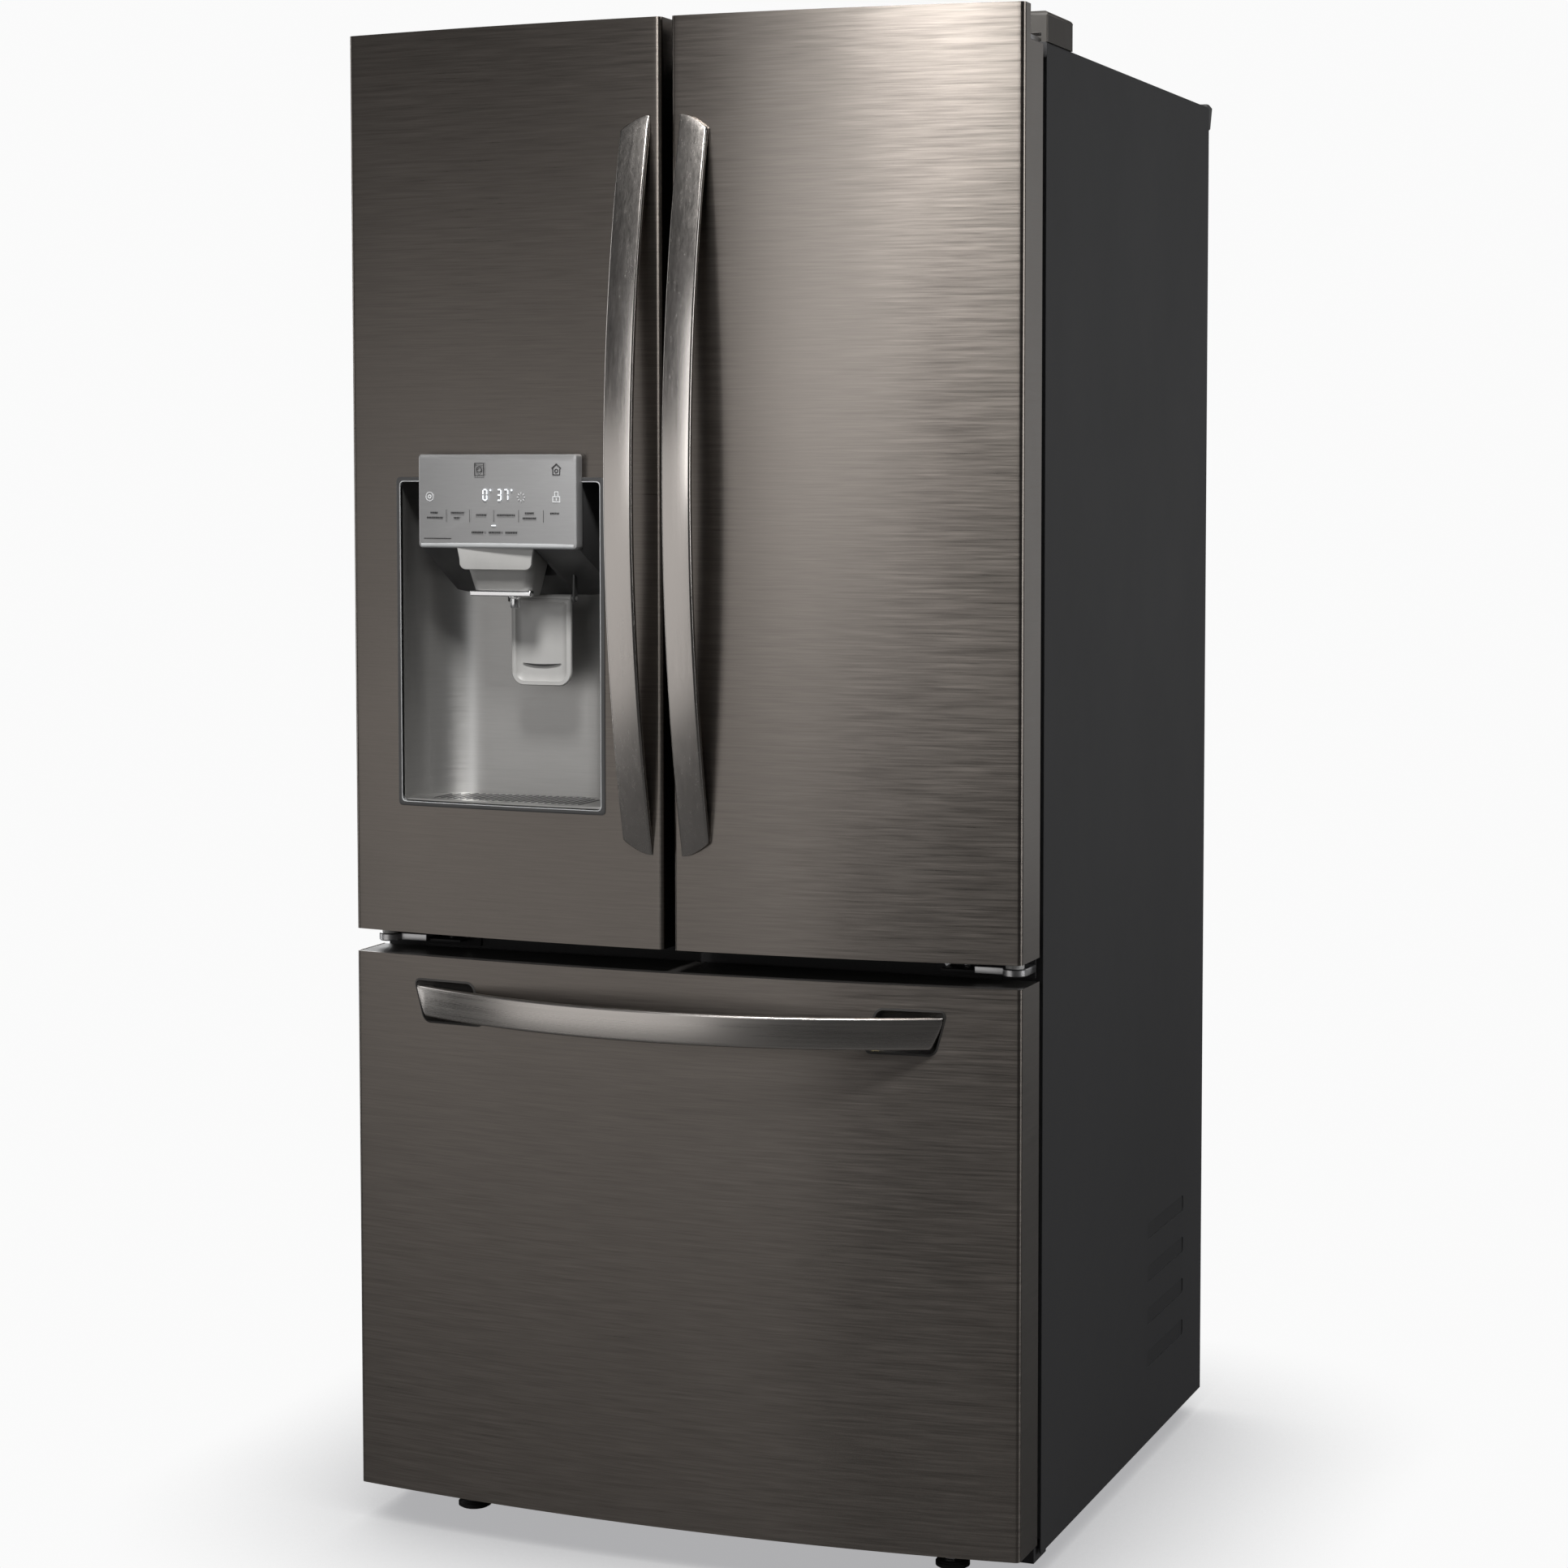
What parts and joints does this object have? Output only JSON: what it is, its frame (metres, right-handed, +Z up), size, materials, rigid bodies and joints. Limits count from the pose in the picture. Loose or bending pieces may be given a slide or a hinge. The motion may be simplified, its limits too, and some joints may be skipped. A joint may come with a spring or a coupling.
{
  "type": "french door refrigerator",
  "caption": "French door refrigerator with two bowed upper doors, an ice and water dispenser in the left door, bowed strip handles and a pull-out freezer drawer.",
  "frame": {"origin": "centre of the whole object's footprint, on the floor", "axes": "+Z up; the doors face -Y; +X is to the right seen from the front"},
  "size_m": [0.832, 0.916, 1.772],
  "materials": {
    "black_steel": "satin",
    "handle_metal": "satin",
    "cabinet_paint": "satin",
    "galvanised": "satin",
    "hinge_steel": "satin",
    "rail_steel": "satin",
    "compressor_paint": "satin",
    "black_plastic": "satin",
    "white_plastic": "satin",
    "bin_plastic": "gloss",
    "shelf_glass": "gloss",
    "gasket_rubber": "matte",
    "foam": "matte",
    "niche_plastic": "satin",
    "panel_face": "satin",
    "steel_cover": "satin",
    "auger_metal": "satin",
    "valve_plastic": "satin"
  },
  "bodies": {
    "cabinet": {"back_panel": "galvanised", "base_frame": "galvanised", "centre_hinges": "hinge_steel", "centre_rail": "cabinet_paint", "compressor": "compressor_paint", "condenser_coil": "compressor_paint", "drawer_rails_outer": "rail_steel", "evaporator": "galvanised", "freezer_duct": "white_plastic", "freezer_liner": "white_plastic", "fridge_liner": "white_plastic", "front_feet": "black_plastic", "hinge_covers": "black_plastic", "insulation_foam": "foam", "machine_cover": "steel_cover", "outer_shell": "cabinet_paint", "rear_top_rail": "black_plastic", "shelf_frames": "white_plastic", "shelf_glass": "shelf_glass", "top_hinges": "hinge_steel", "water_valve": "valve_plastic"},
    "left_door": {"left_door_skin": "black_steel", "left_door_caps": "black_plastic", "left_door_foam": "foam", "left_door_liner": "white_plastic", "left_door_gasket": "gasket_rubber", "left_door_handle": "handle_metal", "left_door_bins": "bin_plastic", "dispenser_housing": "niche_plastic", "control_panel": "panel_face", "dispenser_chute": "panel_face", "drip_tray": "niche_plastic", "ice_room": "white_plastic", "ice_maker": "white_plastic", "ice_bin": "bin_plastic"},
    "right_door": {"right_door_bins": "bin_plastic", "right_door_caps": "black_plastic", "right_door_foam": "foam", "right_door_gasket": "gasket_rubber", "right_door_handle": "handle_metal", "right_door_liner": "white_plastic", "right_door_skin": "black_steel"},
    "freezer_drawer": {"drawer_skin": "black_steel", "drawer_caps": "black_plastic", "drawer_foam": "foam", "drawer_liner": "white_plastic", "drawer_gasket": "gasket_rubber", "drawer_handle": "handle_metal", "drawer_rails_inner": "rail_steel", "freezer_basket": "white_plastic"},
    "flip_mullion": {"flip_mullion": "white_plastic"},
    "dispenser_lever": {"dispenser_lever": "niche_plastic"},
    "ice_auger": {"ice_auger": "auger_metal"},
    "basket_divider": {"basket_divider": "white_plastic"},
    "crisper_left": {"crisper_left": "bin_plastic"},
    "crisper_right": {"crisper_right": "bin_plastic"},
    "condenser_fan": {"condenser_fan": "black_plastic"},
    "evaporator_fan": {"evaporator_fan": "white_plastic"},
    "rear_roller_left": {"rear_roller_left": "black_plastic"},
    "rear_roller_right": {"rear_roller_right": "black_plastic"}
  },
  "joints": [
    {"name": "left_door_hinge", "type": "hinge", "parent": "cabinet", "child": "left_door", "pos_m": [-0.394, -0.325, 0.716], "axis": [0, 0, -1], "range_deg": [0, 110]},
    {"name": "right_door_hinge", "type": "hinge", "parent": "cabinet", "child": "right_door", "pos_m": [0.394, -0.325, 0.716], "axis": [0, 0, 1], "range_deg": [0, 110]},
    {"name": "freezer_drawer_slide", "type": "slide", "parent": "cabinet", "child": "freezer_drawer", "axis": [0, -1, 0], "range_m": [0, 0.4]},
    {"name": "basket_divider_slide", "type": "slide", "parent": "freezer_drawer", "child": "basket_divider", "axis": [1, 0, 0], "range_m": [-0.22, 0.22]},
    {"name": "flip_mullion_hinge", "type": "hinge", "parent": "left_door", "child": "flip_mullion", "pos_m": [-0.032, -0.2787, 1.2], "axis": [0, 0, -1], "range_deg": [0, 90]},
    {"name": "dispenser_lever_hinge", "type": "hinge", "parent": "left_door", "child": "dispenser_lever", "pos_m": [-0.1825, -0.339, 1.113], "axis": [1, 0, 0], "range_deg": [0, 8], "stiffness_Nm_per_rad": 1.5, "springref_deg": -2.86},
    {"name": "ice_auger_spin", "type": "hinge", "parent": "left_door", "child": "ice_auger", "pos_m": [-0.1985, -0.23525, 1.34], "axis": [1, 0, 0], "continuous": true},
    {"name": "crisper_left_slide", "type": "slide", "parent": "cabinet", "child": "crisper_left", "axis": [0, -1, 0], "range_m": [0, 0.04]},
    {"name": "crisper_right_slide", "type": "slide", "parent": "cabinet", "child": "crisper_right", "axis": [0, -1, 0], "range_m": [0, 0.04]},
    {"name": "condenser_fan_spin", "type": "hinge", "parent": "cabinet", "child": "condenser_fan", "pos_m": [0.06, 0.297, 0.14], "axis": [1, 0, 0], "continuous": true},
    {"name": "evaporator_fan_spin", "type": "hinge", "parent": "cabinet", "child": "evaporator_fan", "pos_m": [0, 0.303, 0.54], "axis": [0, 1, 0], "continuous": true},
    {"name": "rear_roller_left_spin", "type": "hinge", "parent": "cabinet", "child": "rear_roller_left", "pos_m": [-0.35, 0.381, 0.016], "axis": [1, 0, 0], "continuous": true},
    {"name": "rear_roller_right_spin", "type": "hinge", "parent": "cabinet", "child": "rear_roller_right", "pos_m": [0.35, 0.381, 0.016], "axis": [1, 0, 0], "continuous": true}
  ]
}
